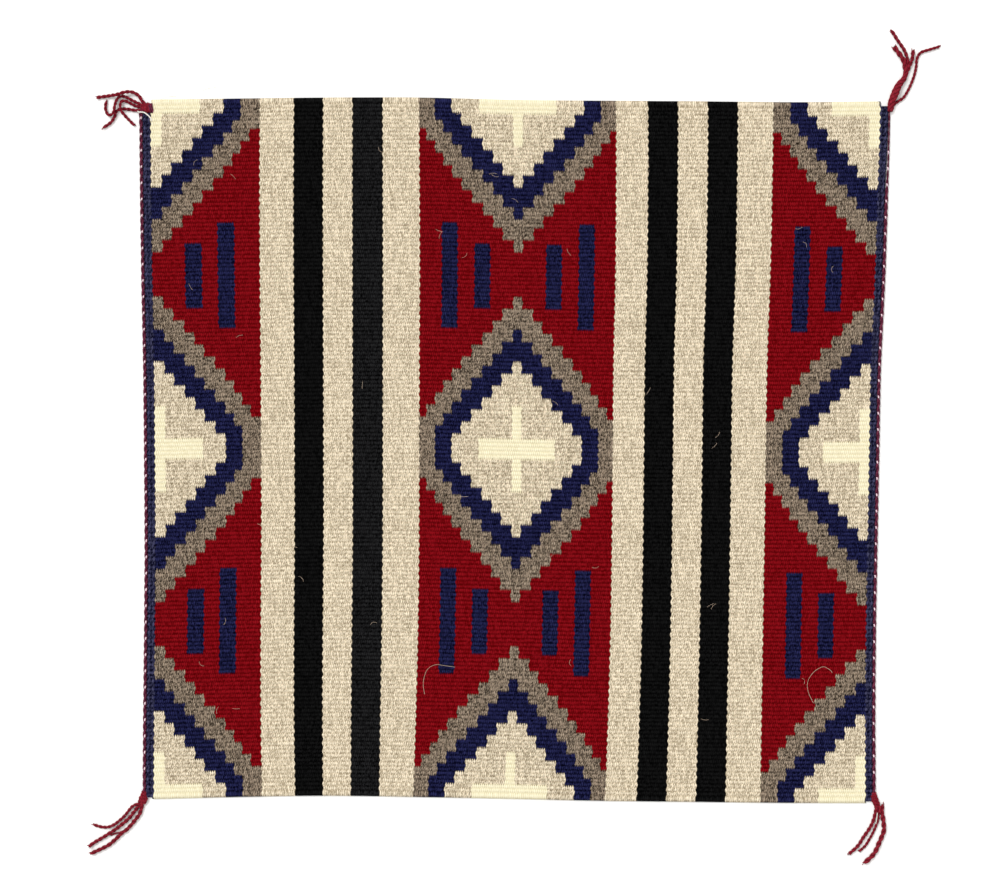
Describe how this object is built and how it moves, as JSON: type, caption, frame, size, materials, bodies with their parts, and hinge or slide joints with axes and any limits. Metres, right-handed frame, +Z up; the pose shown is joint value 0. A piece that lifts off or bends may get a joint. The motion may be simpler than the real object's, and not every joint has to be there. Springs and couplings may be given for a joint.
{
  "type": "tapestry-woven wool rug",
  "caption": "Small flat-woven wool rug with stepped diamonds and stripes, twined end cords and a knotted tassel at each corner.",
  "frame": {"origin": "middle of the rug's underside, on the surface it lies on", "axes": "+Z up out of the rug's face, +X along the warps towards the right end of the picture, +Y towards its top selvage"},
  "size_m": [0.5859, 0.5742, 0.0048],
  "materials": {
    "cloth_wool": "matte weft-faced wool tapestry in oatmeal, cream, grey, navy, red and black",
    "cord_wool": "matte twined wool cord in dark red",
    "tassel_wool": "matte plied wool yarn in red"
  },
  "bodies": {
    "root": {"woven_cloth": "cloth_wool", "end_cord_left": "cord_wool", "end_cord_right": "cord_wool", "tassel_top_left": "tassel_wool", "tassel_top_right": "tassel_wool", "tassel_bottom_left": "tassel_wool", "tassel_bottom_right": "tassel_wool"}
  },
  "joints": []
}
